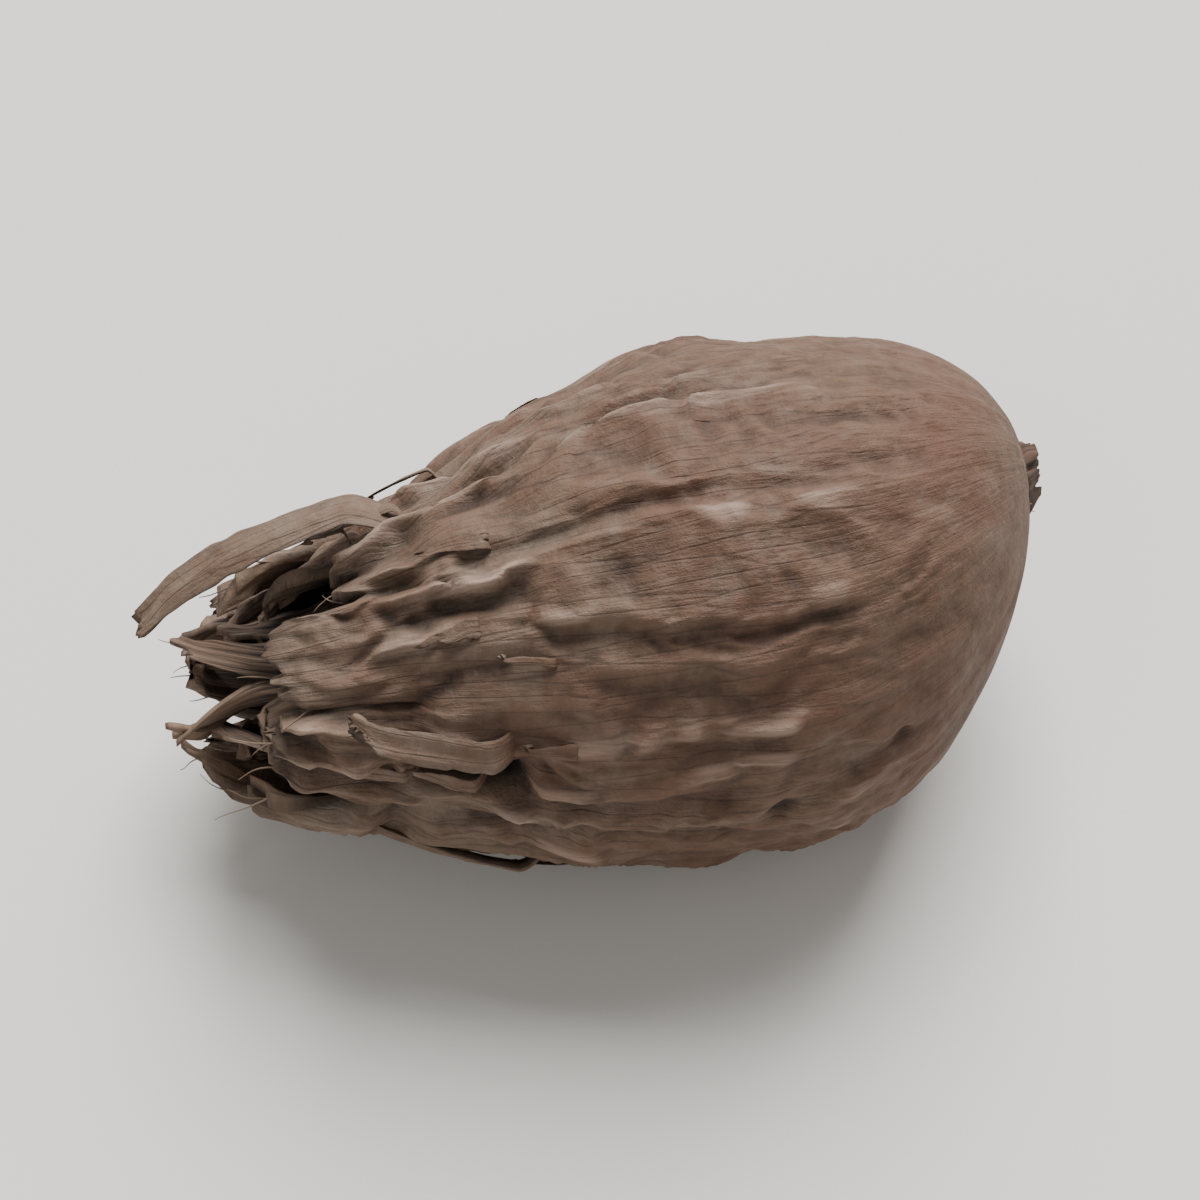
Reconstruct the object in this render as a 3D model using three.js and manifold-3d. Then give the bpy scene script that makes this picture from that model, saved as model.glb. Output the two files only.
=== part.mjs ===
// A dried black cardamom pod lying on its side, in millimetres, +Z up.
// The stalk end points to +X and the torn tip to -X. The origin is on the surface that the pod
// rests on, under the middle of its box. Three solids: the ribbed husk, whose ribs end as torn
// lobes round a hollow, the dried flower tube in that hollow, and the stub of the stalk.

import * as THREE from "three";
import Module from "manifold-3d";

const wasm = await Module();
wasm.setup();

// Driving dimensions. Distances "along" are measured from the husk's stalk end.
const podWidth = 17.4;
const heightShare = 0.9; // height of a section over its width
const eggLength = 32.5; // the egg that the ribs follow closes a little past the lobes' ends
const eggBluntness = 0.5; // power of the stalk end, low is blunt
const eggTaper = 0.95; // power of the tip, high is slender
const stalkEndX = 14.2; // of the husk's stalk end, from the origin
const axisHeight = 6.7;
const tipDroop = 0.05; // fall of the axis per millimetre towards the tip
const stalkSwing = 2.6; // sideways swing of the stalk end
const stalkSwingLength = 9;
const middleY = -0.13; // of the straight part of the axis, from the origin
const threeSidedness = 0.028;

// One side, above the back, has fallen in towards the tip.
const sagDepth = 1.5;
const sagStart = 11; // along
const sagFull = 19.5; // along
const sagAngle = Math.PI / 3; // from the top towards +Y

// The torn lobes, in order from the top of the pod towards +Y: how many ribs each carries, where
// it ends, how far its end leaves the egg, and how far the end turns round the axis (radians).
const lobeTable = [
  { ribs: 2, end: 22.5, out: -0.3, turn: 0.02 },
  { ribs: 3, end: 24.4, out: -0.7, turn: 0.05 },
  { ribs: 3, end: 26.2, out: -0.1, turn: -0.1 },
  { ribs: 3, end: 27.2, out: 0.2, turn: 0.1 },
  { ribs: 3, end: 26.6, out: 0.1, turn: -0.1 },
  { ribs: 3, end: 27.4, out: 0.3, turn: 0.12 },
  { ribs: 2, end: 25.6, out: 0.4, turn: -0.1 },
  { ribs: 3, end: 24.8, out: 0.25, turn: 0.06 },
  { ribs: 3, end: 24.6, out: 0.1, turn: -0.05 },
];
const ribCount = lobeTable.reduce((sum, lobe) => sum + lobe.ribs, 0);
const ribSharpness = 1.7;
const ribWander = 0.16; // in rib spacings
const notchAlong = 21.5;
const notchDepth = 0.8;
const bendStart = 16; // where the lobes begin to leave the egg
const lobeCurl = 0.55;
const rimWall = 0.62;
const rootWall = 1.9;
const hollowFloor = 20.6;
const wallThinsFrom = 21;
const wallThinsTo = 25;

// The flower tube is a stem in a socket, then a tube that narrows to a neck and is torn into flaps.
// Each flap has its end and how far that end leans out.
const tubeRoot = { radius: 1.8, along: 19.5 };
const tubeNeck = { radius: 1.4, along: 26 };
const tubeWall = 0.6;
const tubeFloor = 22.6;
const tubeSplit = 24.6;
const tubeFlaps = [
  { end: 27.0, out: -0.1 },
  { end: 28.2, out: 0.5 },
  { end: 27.6, out: 0.7 },
  { end: 28.6, out: 0.9 },
  { end: 28.4, out: 1.0 },
  { end: 27.9, out: 0.55 },
];

// The stub of the stalk, and the gap that keeps it and the tube clear of the husk.
const gap = 0.12;
const stalkRadius = 1.3;
const stalkSunk = 1.0;
const stalkStub = 0.45;

// Strips of a rib that have lifted off the husk: rib number, where they leave it and where they end.
const liftedStrips = [
  { rib: 2, from: 19.8, to: 29.0, lift: 1.1, width: 1.2 },
  { rib: 17, from: 16.6, to: 22.8, lift: 0.35, width: 1.05 },
  { rib: 21, from: 17.6, to: 22.2, lift: 0.5, width: 1.1 },
  { rib: 8, from: 19.9, to: 26.7, lift: 0.55, width: 0.95 },
  { rib: 13, from: 20.7, to: 27.4, lift: 0.4, width: 0.9 },
];
const stripThickness = 0.62;
const stripRoot = 1.0; // how far a strip starts below the crests

// Mesh density.
const columnsPerRib = 4;
const bodyRows = 24;
const bodyRowsEnd = 19.5;
const lobeRows = 9;
const wallRows = 4;
const shortestEdge = 0.03;

const { lerp, smoothstep } = THREE.MathUtils;
const wrap = (n, count) => ((n % count) + count) % count;

// A number from 0 to 1 that is always the same for the same item and trait.
function draw(item, trait) {
  const s = Math.sin(item * 12.9898 + trait * 78.233) * 43758.5453;
  return s - Math.floor(s);
}

// A trait of the ribs at any rib coordinate, running evenly from one rib to the next.
function betweenRibs(q, traitOfRib) {
  const low = Math.floor(q);
  return lerp(traitOfRib(wrap(low, ribCount)), traitOfRib(wrap(low + 1, ribCount)), q - low);
}

// Which lobe a rib coordinate lies in, and where across it, from -1 to 1.
const lobes = lobeTable.map((lobe, index) => {
  const first = lobeTable.slice(0, index).reduce((sum, before) => sum + before.ribs, 0);
  return { ...lobe, middle: first + (lobe.ribs - 1) / 2, half: lobe.ribs / 2 };
});
function lobeAt(q) {
  const at = wrap(q + 0.5, ribCount) - 0.5;
  const lobe = lobes.find((l) => Math.abs(at - l.middle) <= l.half + 1e-9);
  return { lobe, across: (at - lobe.middle) / lobe.half };
}

// Radius of the egg that the rib crests follow.
function eggRadius(along) {
  const widest = eggBluntness / (eggBluntness + eggTaper);
  const share = along / eggLength;
  return (
    (podWidth / 2) *
    (share / widest) ** eggBluntness *
    ((1 - share) / (1 - widest)) ** eggTaper
  );
}

// How far the fallen side lies under the egg.
function sagAt(along, angle) {
  const facing = 0.5 + 0.5 * Math.cos(angle - sagAngle);
  return sagDepth * smoothstep(along, sagStart, sagFull) * facing ** 1.5;
}

// Height of the ribs over the skin between them: low at the stalk, tall near the tip.
function ribHeight(rib, along) {
  const mean = 0.12 + 0.4 * smoothstep(along, 3, 14) + 0.42 * smoothstep(along, 14, 23);
  const own = 0.55 + 0.6 * draw(rib, 1);
  const wave = 0.17 * Math.sin(along * (0.9 + 0.5 * draw(rib, 2)) + 6.3 * draw(rib, 3));
  return mean * (own + wave);
}
const deepestRib = (along) =>
  0.15 + 0.46 * smoothstep(along, 3, 14) + 0.48 * smoothstep(along, 14, 23);

// Angle round the axis of a rib coordinate: uneven spacing, and a slow wander along the pod.
function angleAt(q, along) {
  const offset = betweenRibs(q, (rib) => {
    const uneven = 0.45 * (draw(rib, 4) - 0.5);
    const wander = ribWander * Math.sin(along * (0.22 + 0.2 * draw(rib, 5)) + 6.3 * draw(rib, 6));
    return uneven + wander * smoothstep(along, 0, 8);
  });
  return ((q + offset) / ribCount) * 2 * Math.PI;
}

// How a lobe leaves the egg: outwards, round the axis, and with its edges curled up.
function lobeBend(q, along) {
  const { lobe, across } = lobeAt(q);
  const share = smoothstep(along, bendStart, lobe.end) ** 2;
  return { out: share * (lobe.out + lobeCurl * across ** 2), turn: share * lobe.turn };
}

// Where the husk ends at a rib coordinate: far out on a lobe, low in the notch between two.
function rimAlong(q) {
  const { lobe, across } = lobeAt(q);
  const ragged = 0.7 * betweenRibs(q * 2, (n) => draw(n, 10));
  return notchAlong + (lobe.end - ragged - notchAlong) * (1 - Math.abs(across) ** 5);
}

// A point by its distance along the pod, its radius and its angle from the top towards +Y.
function place(along, radius, angle) {
  const swing = Math.max(0, 1 - along / stalkSwingLength) ** 2;
  return new THREE.Vector3(
    stalkEndX - along,
    middleY + stalkSwing * swing + radius * Math.sin(angle),
    axisHeight - tipDroop * (along - eggLength / 2) + heightShare * radius * Math.cos(angle),
  );
}

// Radius of the skin: the egg, three-sided and sagged, less the rib height, plus each rib, less the
// notch by a lobe's edge.
function skinRadius(q, along) {
  const rib = Math.round(q);
  const fromCrest = Math.abs(q - rib) * 2;
  const crest = ribHeight(wrap(rib, ribCount), along) * (1 - fromCrest) ** ribSharpness;
  const { across } = lobeAt(q);
  const notch = notchDepth * smoothstep(along, 18, 23.5) * Math.abs(across) ** 6;
  const angle = angleAt(q, along);
  const sides = 1 + threeSidedness * Math.cos(3 * angle + 0.6);
  return eggRadius(along) * sides - sagAt(along, angle) - deepestRib(along) + crest - notch;
}

function outerPoint(q, along) {
  const bend = lobeBend(q, along);
  return place(along, skinRadius(q, along) + bend.out, angleAt(q, along) + bend.turn);
}

// The hollow's wall, under the skin: thick at the root of the lobes, thin at their ends.
function innerPoint(q, along, share = 1) {
  const bend = lobeBend(q, along);
  const angle = angleAt(q, along);
  const thinned = smoothstep(along, wallThinsFrom, wallThinsTo);
  const wall = lerp(rootWall, rimWall + deepestRib(along) * 0.6, thinned) + sagAt(along, angle);
  const radius = Math.min(eggRadius(along) - wall, skinRadius(q, along) - rimWall) + bend.out;
  return place(along, Math.max(radius, 0.3) * share, angle + bend.turn);
}

// A closed surface from rows of points: a single point, rings of equal length, a single point.
function closedSurface(rows) {
  const points = rows.flat();
  const positions = new Float32Array(points.flatMap((p) => [p.x, p.y, p.z]));
  const starts = [];
  rows.reduce((start, row) => {
    starts.push(start);
    return start + row.length;
  }, 0);
  const columns = rows[1].length;
  const faces = [];
  for (let r = 0; r + 1 < rows.length; r++) {
    for (let c = 0; c < columns; c++) {
      const next = (c + 1) % columns;
      const near = rows[r].length === 1 ? [starts[r]] : [starts[r] + c, starts[r] + next];
      const far = rows[r + 1].length === 1 ? [starts[r + 1]] : [starts[r + 1] + c, starts[r + 1] + next];
      if (near.length === 2) faces.push(near[0], near[1], far[0]);
      if (far.length === 2) faces.push(near[near.length - 1], far[1], far[0]);
    }
  }
  let solid = new wasm.Manifold(
    new wasm.Mesh({ numProp: 3, vertProperties: positions, triVerts: new Uint32Array(faces) }),
  );
  if (solid.volume() < 0) {
    faces.reverse();
    solid = new wasm.Manifold(
      new wasm.Mesh({ numProp: 3, vertProperties: positions, triVerts: new Uint32Array(faces) }),
    );
  }
  return solid;
}

// A round plug about the pod's axis, from one distance along it to another.
function plug(from, to, radius, sides = 14) {
  const ring = (along, r) =>
    Array.from({ length: sides }, (_, n) => place(along, r, (n / sides) * 2 * Math.PI));
  return closedSurface([[place(from, 0, 0)], ring(from, radius), ring(to, radius), [place(to, 0, 0)]]);
}

function huskBody() {
  const columns = ribCount * columnsPerRib;
  const ring = (pointAt) => Array.from({ length: columns }, (_, c) => pointAt(c / columnsPerRib));
  const rows = [[place(0, 0, 0)]];
  for (let r = 1; r <= bodyRows; r++) {
    const along = bodyRowsEnd * (r / bodyRows) ** 1.4;
    rows.push(ring((q) => outerPoint(q, along)));
  }
  for (let r = 1; r <= lobeRows; r++)
    rows.push(ring((q) => outerPoint(q, lerp(bodyRowsEnd, rimAlong(q), r / lobeRows))));
  for (let r = 0; r <= wallRows; r++)
    rows.push(ring((q) => innerPoint(q, lerp(rimAlong(q), hollowFloor, r / wallRows))));
  rows.push(ring((q) => innerPoint(q, hollowFloor, 0.5)));
  rows.push([place(hollowFloor, 0, 0)]);
  return closedSurface(rows);
}

// A strip of rib that is rooted in the husk, stands off it and tapers to its end.
function liftedStrip({ rib, from, to, lift, width }) {
  const steps = 12;
  const corners = [
    [-0.5, -0.5],
    [0.5, -0.5],
    [0.5, 0.3],
    [0, 0.5],
    [-0.5, 0.3],
  ];
  const rows = [];
  for (let s = 0; s <= steps; s++) {
    const share = s / steps;
    const along = lerp(from, to, share);
    const taper = 1 - 0.45 * share ** 2;
    const rise = lift * Math.sin(Math.PI * 0.62 * share) - stripRoot * (1 - smoothstep(share, 0, 0.3));
    const middleAngle = angleAt(rib, along) + 0.1 * share ** 2;
    const radius = eggRadius(along) - sagAt(along, middleAngle) + rise;
    rows.push(
      corners.map(([side, up]) => {
        const angle = middleAngle + (side * width * taper) / radius;
        return place(along, radius + up * stripThickness * taper, angle);
      }),
    );
  }
  const middle = (row) => row.reduce((sum, p) => sum.add(p), new THREE.Vector3()).divideScalar(row.length);
  return closedSurface([[middle(rows[0])], ...rows, [middle(rows[steps])]]);
}

function husk() {
  let solid = huskBody();
  for (const strip of liftedStrips) solid = solid.add(liftedStrip(strip));
  solid = solid.subtract(plug(-5, stalkSunk + gap, stalkRadius + gap));
  solid = solid.subtract(plug(tubeRoot.along - gap, hollowFloor + 0.4, tubeRoot.radius + gap));
  const under = new THREE.BoxGeometry(80, 80, 10).translate(0, 0, -5);
  return withoutShortEdges(solid.subtract(solidOf(under)));
}

// The same solid with the two ends of each very short edge, which joins and cuts leave, made one.
function withoutShortEdges(solid) {
  const { vertProperties, triVerts } = solid.getMesh();
  const point = (n) => new THREE.Vector3().fromArray(vertProperties, n * 3);
  const joinedTo = Array.from({ length: vertProperties.length / 3 }, (_, n) => n);
  const joined = (n) => (joinedTo[n] === n ? n : joined(joinedTo[n]));
  const sides = [0, 1, 2];
  for (let start = 0; start < triVerts.length; start += 3) {
    for (const side of sides) {
      const [a, b] = [triVerts[start + side], triVerts[start + ((side + 1) % 3)]];
      if (point(a).distanceTo(point(b)) < shortestEdge) joinedTo[joined(a)] = joined(b);
    }
  }
  const faces = [];
  for (let start = 0; start < triVerts.length; start += 3) {
    const corners = sides.map((side) => joined(triVerts[start + side]));
    if (new Set(corners).size === 3) faces.push(...corners);
  }
  return new wasm.Manifold(
    new wasm.Mesh({ numProp: 3, vertProperties, triVerts: new Uint32Array(faces) }),
  );
}

function flowerTube() {
  const columns = 48;
  const perFlap = columns / tubeFlaps.length;
  const ring = (pointAt) => Array.from({ length: columns }, (_, c) => pointAt(c));
  const across = (c) => ((c % perFlap) / perFlap) * 2 - 1;
  const flap = (c) => tubeFlaps[Math.floor(c / perFlap)];
  const end = (c) => tubeSplit + (flap(c).end - tubeSplit) * (1 - Math.abs(across(c)) ** 3);
  const round = (along, radius) => (c) => place(along, radius, (c / columns) * 2 * Math.PI);
  const wall = (c, along, inset) => {
    const narrowed = smoothstep(along, hollowFloor, tubeNeck.along);
    const open = smoothstep(along, tubeNeck.along - 1, 28.5);
    const fold = 0.12 * narrowed * Math.cos((c / columns) * 2 * Math.PI * 12);
    const radius = lerp(tubeRoot.radius, tubeNeck.radius, narrowed) + flap(c).out * open + fold;
    return place(along, radius - inset, (c / columns) * 2 * Math.PI + 0.2 * open);
  };
  const rows = [[place(tubeRoot.along, 0, 0)]];
  rows.push(ring(round(tubeRoot.along, tubeRoot.radius)));
  rows.push(ring(round(hollowFloor, tubeRoot.radius)));
  for (let r = 1; r <= 6; r++) rows.push(ring((c) => wall(c, lerp(hollowFloor, end(c), r / 6), 0)));
  for (let r = 0; r <= 3; r++)
    rows.push(ring((c) => wall(c, lerp(end(c), tubeFloor, r / 3), tubeWall)));
  rows.push([place(tubeFloor, 0, 0)]);
  return closedSurface(rows);
}

// The stub of the stalk, broken off rough.
function stalk() {
  const sides = 14;
  const ring = (along, radius, rough) =>
    Array.from({ length: sides }, (_, n) =>
      place(along - rough * draw(n, 13), radius * (1 - 0.12 * draw(n, 14)), (n / sides) * 2 * Math.PI),
    );
  return closedSurface([
    [place(stalkSunk, 0, 0)],
    ring(stalkSunk, stalkRadius, 0),
    ring(0, stalkRadius, 0),
    ring(-stalkStub * 0.6, stalkRadius * 1.05, 0.2),
    ring(-stalkStub * 0.8, stalkRadius * 0.7, 0.25),
    [place(-stalkStub * 0.7, 0, 0)],
  ]);
}

function solidOf(geometry) {
  const merged = geometry.index ? geometry.toNonIndexed() : geometry;
  const position = merged.getAttribute("position");
  const seen = new Map();
  const points = [];
  const faces = [];
  for (let i = 0; i < position.count; i++) {
    const xyz = [position.getX(i), position.getY(i), position.getZ(i)];
    const key = xyz.map((v) => v.toFixed(4)).join();
    if (!seen.has(key)) {
      seen.set(key, seen.size);
      points.push(...xyz);
    }
    faces.push(seen.get(key));
  }
  return new wasm.Manifold(
    new wasm.Mesh({
      numProp: 3,
      vertProperties: new Float32Array(points),
      triVerts: new Uint32Array(faces),
    }),
  );
}

function meshOf(name, solid, look) {
  const { vertProperties, triVerts } = solid.getMesh();
  const geometry = new THREE.BufferGeometry();
  geometry.setAttribute("position", new THREE.BufferAttribute(vertProperties, 3));
  geometry.setIndex(new THREE.BufferAttribute(triVerts, 1));
  geometry.computeVertexNormals();
  const mesh = new THREE.Mesh(geometry, new THREE.MeshStandardMaterial({ metalness: 0, ...look }));
  mesh.name = name;
  return mesh;
}

const pod = new THREE.Group();
pod.add(meshOf("husk", husk(), { color: "#6b5548", roughness: 0.78 }));
pod.add(meshOf("flower_tube", flowerTube(), { color: "#8a705c", roughness: 0.9 }));
pod.add(meshOf("stalk", stalk(), { color: "#8d7763", roughness: 0.9 }));

export default pod;
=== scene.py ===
from math import cos, pi, radians, sin
import bpy
import numpy as np
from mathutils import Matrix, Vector


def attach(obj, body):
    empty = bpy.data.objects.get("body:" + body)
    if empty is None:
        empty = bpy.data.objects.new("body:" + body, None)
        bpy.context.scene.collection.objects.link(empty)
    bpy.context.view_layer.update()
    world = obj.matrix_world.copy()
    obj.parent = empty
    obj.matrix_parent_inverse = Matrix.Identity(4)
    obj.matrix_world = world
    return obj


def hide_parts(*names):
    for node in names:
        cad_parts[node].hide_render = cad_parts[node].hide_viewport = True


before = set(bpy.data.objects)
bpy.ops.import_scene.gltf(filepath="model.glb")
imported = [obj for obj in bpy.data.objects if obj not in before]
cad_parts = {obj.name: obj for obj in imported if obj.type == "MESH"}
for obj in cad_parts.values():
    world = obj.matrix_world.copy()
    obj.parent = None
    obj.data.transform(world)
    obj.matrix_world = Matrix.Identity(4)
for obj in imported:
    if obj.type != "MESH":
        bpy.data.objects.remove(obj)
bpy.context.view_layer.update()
print("frame loaded")

metresPerMm = 0.001
podLength = 30.0  # millimetres, about the distance from the stalk end to the tip
grainStretch = 0.13  # fibre noise is read this much slower along the pod than across it

# The pod's own sizes, the same as in the part's source: lengths in millimetres, angles in radians.
# Distances "along" start at the husk's stalk end, which points to +X, and grow towards the tip.
podShape = {
    "width": 17.4,
    "heightShare": 0.9,  # height of a section over its width
    "eggLength": 32.5,  # the egg that the ribs follow closes a little past the lobes' ends
    "eggBluntness": 0.5,  # power of the stalk end, low is blunt
    "eggTaper": 0.95,  # power of the tip, high is slender
    "stalkEndX": 14.2,
    "axisHeight": 6.7,
    "tipDroop": 0.05,  # fall of the axis per millimetre towards the tip
    "stalkSwing": 2.6,  # sideways swing of the stalk end
    "stalkSwingLength": 9.0,
    "middleY": -0.13,  # of the straight part of the axis
    "threeSidedness": 0.028,
    "sidesTurn": 0.6,
    "sagDepth": 1.5,  # one side, above the back, has fallen in towards the tip
    "sagStart": 11.0,
    "sagFull": 19.5,
    "sagAngle": pi / 3,  # from the top towards +Y
    "sagNarrowness": 1.5,
    "ribUnevenness": 0.45,  # in rib spacings
    "ribWander": 0.16,  # in rib spacings
    "ribSharpness": 1.7,
    "ribsGrow": (3, 14, 23),  # along: where the ribs start to grow, their middle, and full height
    "notchAlong": 21.5,
    "notchDepth": 0.8,
    "notchFrom": 18.0,
    "notchFull": 23.5,
    "bendStart": 16.0,  # where the lobes begin to leave the egg
    "lobeCurl": 0.55,
    "hollowFloor": 20.6,
    "wallThinsFrom": 21.0,
    "wallThinsTo": 25.0,
}

# The torn lobes from the top of the pod towards +Y: ribs carried, end, rise of the end, turn.
lobeRibs = np.array([2, 3, 3, 3, 3, 3, 2, 3, 3])
lobeEnd = np.array([22.5, 24.4, 26.2, 27.2, 26.6, 27.4, 25.6, 24.8, 24.6])
lobeOut = np.array([-0.3, -0.7, -0.1, 0.2, 0.1, 0.3, 0.4, 0.25, 0.1])
lobeTurn = np.array([0.02, 0.05, -0.1, 0.1, -0.1, 0.12, -0.1, 0.06, -0.05])
ribCount = int(lobeRibs.sum())
lobeEdge = np.cumsum(lobeRibs) - lobeRibs - 0.5


def draw(item, trait):
    # fractional part of a large sine, so one item always draws the same number from 0 to 1; the
    # number of the trait only keeps its draws apart from those of other traits
    s = np.sin(item * 12.9898 + trait * 78.233) * 43758.5453
    return s - np.floor(s)


def offCentre(item, trait):
    # a drawn number from -0.5 to 0.5
    return draw(item, trait) - 0.5


def phase(item, trait):
    # where a wave starts, drawn from 0 to about a whole turn, as in the part's source
    return 6.3 * draw(item, trait)


def ease(x, low, high):
    # 3t^2 - 2t^3 of the share t of the way from low to high
    t = np.clip((x - low) / (high - low), 0, 1)
    return t * t * (3 - 2 * t)


def mix(a, b, share):
    # a where the share is 0 and b where it is 1
    return a + (b - a) * share


def together(*fields):
    # the fields side by side along a new last axis
    return np.stack(np.broadcast_arrays(*fields), -1)


cornerSteps = np.array([1.0, 57.0, 113.0])  # keep the draws of neighbouring rows and layers apart


def patchNoise(x, y, period, seed):
    # a drawn height at each whole-number point, eased between the four round (x, y); x repeats
    x0, y0 = np.floor(x), np.floor(y)
    fx, fy = ease(x - x0, 0, 1), ease(y - y0, 0, 1)

    def corner(dx, dy):
        return draw((x0 + dx) % period + cornerSteps[1] * (y0 + dy), seed)

    low = mix(corner(0, 0), corner(1, 0), fx)
    high = mix(corner(0, 1), corner(1, 1), fx)
    return mix(low, high, fy) * 2 - 1


def roundNoise(column, wide, run, seed):
    # patch noise round a tube, in patches that many columns wide
    return patchNoise(column / wide, run, len(column) / wide, seed)


def lumpNoise(points, size, seed):
    # a drawn height at each corner of cubes of that size in millimetres, eased between the eight
    cell = points / size
    low = np.floor(cell)
    share = ease(cell - low, 0, 1)
    total = 0
    for corner in np.ndindex(2, 2, 2):
        weight = np.where(corner, share, 1 - share).prod(-1)
        total = total + weight * draw((low + corner) @ cornerSteps, seed)
    return total * 2 - 1


def eggRadius(along):
    # (share of length)^bluntness times (share left)^taper, scaled to half the width at its widest
    p = podShape
    widest = p["eggBluntness"] / (p["eggBluntness"] + p["eggTaper"])
    share = np.clip(along / p["eggLength"], 0, 0.995)
    rise = (share / widest) ** p["eggBluntness"]
    fall = ((1 - share) / (1 - widest)) ** p["eggTaper"]
    return p["width"] / 2 * rise * fall


def bodyRadius(along, angle):
    # the egg, three-sided by a cosine, less a sag on one side that grows towards the tip
    p = podShape
    sides = 1 + p["threeSidedness"] * np.cos(3 * angle + p["sidesTurn"])
    facing = (0.5 + 0.5 * np.cos(angle - p["sagAngle"])) ** p["sagNarrowness"]
    sag = p["sagDepth"] * ease(along, p["sagStart"], p["sagFull"]) * facing
    return eggRadius(along) * sides - sag


def betweenRibs(q, ofRib):
    # a trait of the ribs at any rib coordinate, running evenly from one rib to the next
    low = np.floor(q)
    return mix(ofRib(low % ribCount), ofRib((low + 1) % ribCount), q - low)


def ribAngle(q, along):
    # rib coordinate plus an offset, over the rib count, in turns; a rib's offset is its own
    # unevenness plus a slow sine along the pod
    def offset(rib):
        wave = np.sin(along * (0.22 + 0.2 * draw(rib, 5)) + phase(rib, 6))
        wander = podShape["ribWander"] * wave * ease(along, 0, 8)
        return podShape["ribUnevenness"] * offCentre(rib, 4) + wander

    return (q + betweenRibs(q, offset)) / ribCount * 2 * pi


def place(along, radius, angle):
    # straight back from the stalk end, round an axis that swings sideways there as a square and
    # droops evenly towards the tip
    p = podShape
    swing = np.maximum(0, 1 - along / p["stalkSwingLength"]) ** 2
    x = p["stalkEndX"] - along
    y = p["middleY"] + p["stalkSwing"] * swing + radius * np.sin(angle)
    z = p["axisHeight"] - p["tipDroop"] * (along - p["eggLength"] / 2)
    return together(x, y, z + p["heightShare"] * radius * np.cos(angle))


def lobeAt(q):
    # which lobe a rib coordinate lies in, and where across it from -1 to 1
    at = (q + 0.5) % ribCount - 0.5
    index = np.searchsorted(lobeEdge, at, side="right") - 1
    half = lobeRibs[index] / 2
    return index, (at - lobeEdge[index]) / half - 1


def lobeBend(q, along):
    # a lobe's rise and turn grow as the square of an eased way from its root to its end, and its
    # edges rise more, as the square of the way across
    index, across = lobeAt(q)
    share = ease(along, podShape["bendStart"], lobeEnd[index]) ** 2
    return share * (lobeOut[index] + podShape["lobeCurl"] * across**2), share * lobeTurn[index]


# The husk's grid and the surface of its dried skin. Lengths, heights and depths are in millimetres
# unless a note says otherwise.
huskDetail = {
    "columnsPerRib": 20,
    "bodyRows": 125,
    "bodyRowsEnd": 19.5,
    "bodyRowsPower": 1.25,  # power that crowds the rows at the stalk end
    "lobeRows": 40,
    "wallRows": 20,
    "ribHeight": (0.12, 0.4, 0.32),  # at the stalk end, added by the middle, added by the tip
    "ribGap": (0.15, 0.46, 0.4),  # depth of the skin between ribs under the egg, as ribHeight
    "ribsKept": 0.84,  # share of the rib height left by wear
    "crestRounding": 0.12,  # share of half the rib spacing
    "wiggle": 0.2,  # share of the rib spacing
    "runUnevenness": 0.55,
    "beads": 0.55,  # share of the rib height
    "nicks": 0.45,  # share of the rib height
    "nickSlant": 1.1,  # in nicks
    "bridges": 0.7,  # share of the depth between ribs
    "minorRidges": 0.22,
    "striations": 0.055,
    "puckers": 0.08,
    "dents": 0.2,
    "dentSize": 3.4,
    "lumps": 0.1,
    "lumpSize": 1.3,
    "crumple": 0.3,
    "crumpleSize": 2.1,
    "pits": 34,
    "pitsBetween": (3, 22),  # along
    "pitSizes": (0.2, 0.5),
    "tearRib": 19.85,  # rib coordinate
    "tearHalfRibs": 0.42,  # in rib spacings
    "tearFrom": 16.9,
    "tearTo": 21.0,
    "tearEnds": 0.9,  # length over which the slot closes at each end
    "tearDepth": 1.7,
    "paperyEnd": 0.8,  # how far a lobe's papery edge reaches past the solid's, before it frays
    "raggedness": 0.7,
    "fray": 0.6,
    "slits": 0.9,
    "slitHalfRibs": 0.1,  # in rib spacings
    "shortestLobe": 0.2,
    "rimWall": 0.3,
    "rootWall": 1.9,
    "innerFibres": 0.12,
    "tornRim": 0.6,  # width of the rim that shows torn fibre
    # surroundings that a point is seen to stand over, which paint shade into furrows and pits and
    # light onto crests: columns, depth, share of its tone
    "surroundings": ((10, 0.42, 0.25), (3, 0.09, 0.15)),
    # the inner wall's painted light at its rim, falling to painted shade at the hollow's floor
    "wallRimPaintedLight": 0.9,  # share of the tone that the inner wall keeps at its rim
    # spread of the pale high spots, rubbed and painted highlight
    "rubAndHighlightSpread": 4,  # in columns
}

# Noises of the skin's relief: patches to the rib, patches to the millimetre, seed.
reliefNoises = {
    "unevenRun": (2, 0.8, 39),
    "slowWiggle": (1, 0.5, 30),
    "quickWiggle": (1, 1.4, 31),
    "beads": (1, 0.62, 21),
    "nicks": (1, 1.4, 32),
    "bridges": (1, 0.58, 34),
    "sway": (0.5, 0.35, 20),
    "minorRidges": (2, 0.22, 22),
    "striations": (5, 0.55, 23),
    "puckeredPatches": (0.5, 0.3, 33),
    "puckers": (2, 2.3, 29),
    "fray": (7, 0, 26),
    "innerFibres": (4, 0.5, 28),
}


def reliefNoise(name, q, along, acrossShift=0, alongShift=0):
    # the named noise at its own scales, shifted by so many of its patches
    perRib, perMm, seed = reliefNoises[name]
    return patchNoise(q * perRib + acrossShift, along * perMm + alongShift, perRib * ribCount, seed)


def grown(amounts, along):
    # the first amount, plus the second eased in by the ribs' middle, plus the third eased in by
    # their full height
    atStalk, byMiddle, byTip = amounts
    start, middle, full = podShape["ribsGrow"]
    return atStalk + byMiddle * ease(along, start, middle) + byTip * ease(along, middle, full)


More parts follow.
